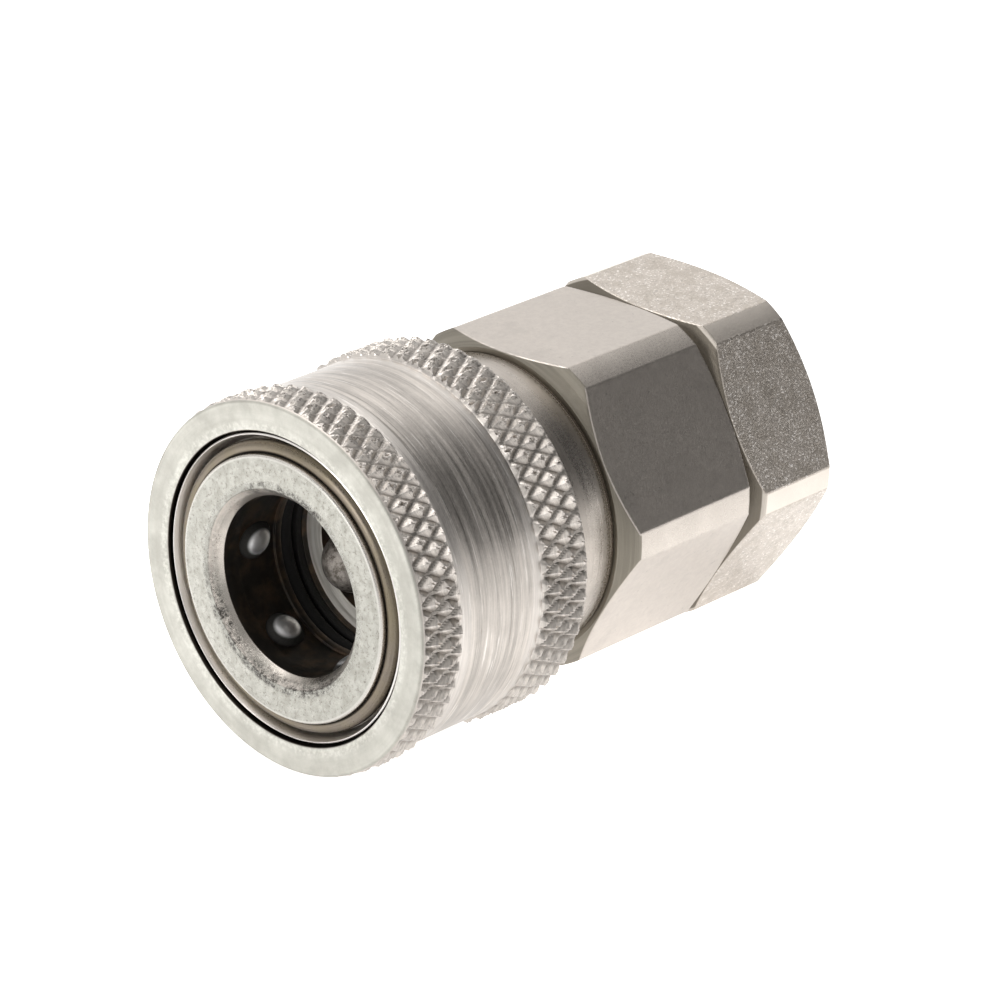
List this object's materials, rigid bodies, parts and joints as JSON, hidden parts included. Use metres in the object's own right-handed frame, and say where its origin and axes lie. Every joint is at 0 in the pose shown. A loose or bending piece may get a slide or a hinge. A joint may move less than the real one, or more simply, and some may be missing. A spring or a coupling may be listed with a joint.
{
  "type": "quick disconnect coupler",
  "caption": "Steel ball-lock quick disconnect socket with a knurled sliding sleeve, a spring-loaded poppet valve, a hex body and a threaded hex port adapter",
  "frame": {"origin": "On the axis, where the probe bore's straight wall starts, 0.95 mm behind the front face", "axes": "X along the coupler's axis: -X is the way the mating probe leaves, +X points to the pipe port; +Z leaves the body hex's top flat"},
  "size_m": [0.0482, 0.03, 0.03],
  "materials": {
    "sleeve_steel": "satin turned",
    "body_steel": "ground and turned",
    "bar_steel": "as-drawn bar, lightly mottled",
    "ring_steel": "drawn wire",
    "spring_steel": "drawn wire",
    "ball_steel": "polished",
    "poppet_steel": "turned",
    "seal_rubber": "moulded",
    "seal_plastic": "smooth"
  },
  "bodies": {
    "core": {"body": "body_steel", "adapter": "bar_steel", "snap_ring": "ring_steel", "stop_collar": "sleeve_steel", "sleeve_spring": "spring_steel", "probe_o_ring": "seal_rubber", "backup_ring": "seal_plastic", "valve_spring": "spring_steel", "valve_guide": "body_steel", "adapter_o_ring": "seal_rubber"},
    "sleeve": {"sleeve": "sleeve_steel"},
    "poppet": {"poppet": "poppet_steel", "poppet_o_ring": "seal_rubber"},
    "ball_1": {"ball_1": "ball_steel"},
    "ball_2": {"ball_2": "ball_steel"},
    "ball_3": {"ball_3": "ball_steel"},
    "ball_4": {"ball_4": "ball_steel"},
    "ball_5": {"ball_5": "ball_steel"},
    "ball_6": {"ball_6": "ball_steel"}
  },
  "joints": [
    {"name": "sleeve_slide", "type": "slide", "parent": "core", "child": "sleeve", "axis": [1, 0, 0], "range_m": [0, 0.0034], "stiffness_N_per_m": 3000, "springref_m": -0.003, "deforming": ["sleeve_spring"]},
    {"name": "poppet_slide", "type": "slide", "parent": "core", "child": "poppet", "axis": [1, 0, 0], "range_m": [0, 0.0036], "stiffness_N_per_m": 1500, "springref_m": -0.003, "deforming": ["valve_spring"]},
    {"name": "ball_1_slide", "type": "slide", "parent": "core", "child": "ball_1", "axis": [0, 0.9976, 0.0698], "range_m": [0, 0.0007]},
    {"name": "ball_2_slide", "type": "slide", "parent": "core", "child": "ball_2", "axis": [0, 0.4384, 0.8988], "range_m": [0, 0.0007]},
    {"name": "ball_3_slide", "type": "slide", "parent": "core", "child": "ball_3", "axis": [0, -0.5592, 0.829], "range_m": [0, 0.0007]},
    {"name": "ball_4_slide", "type": "slide", "parent": "core", "child": "ball_4", "axis": [0, -0.9976, -0.0698], "range_m": [0, 0.0007]},
    {"name": "ball_5_slide", "type": "slide", "parent": "core", "child": "ball_5", "axis": [0, -0.4384, -0.8988], "range_m": [0, 0.0007]},
    {"name": "ball_6_slide", "type": "slide", "parent": "core", "child": "ball_6", "axis": [0, 0.5592, -0.829], "range_m": [0, 0.0007]}
  ],
  "couplings": [
    {"joint": "ball_1_slide", "follows": "sleeve_slide", "ratio": 0.20588},
    {"joint": "ball_2_slide", "follows": "sleeve_slide", "ratio": 0.20588},
    {"joint": "ball_3_slide", "follows": "sleeve_slide", "ratio": 0.20588},
    {"joint": "ball_4_slide", "follows": "sleeve_slide", "ratio": 0.20588},
    {"joint": "ball_5_slide", "follows": "sleeve_slide", "ratio": 0.20588},
    {"joint": "ball_6_slide", "follows": "sleeve_slide", "ratio": 0.20588}
  ]
}
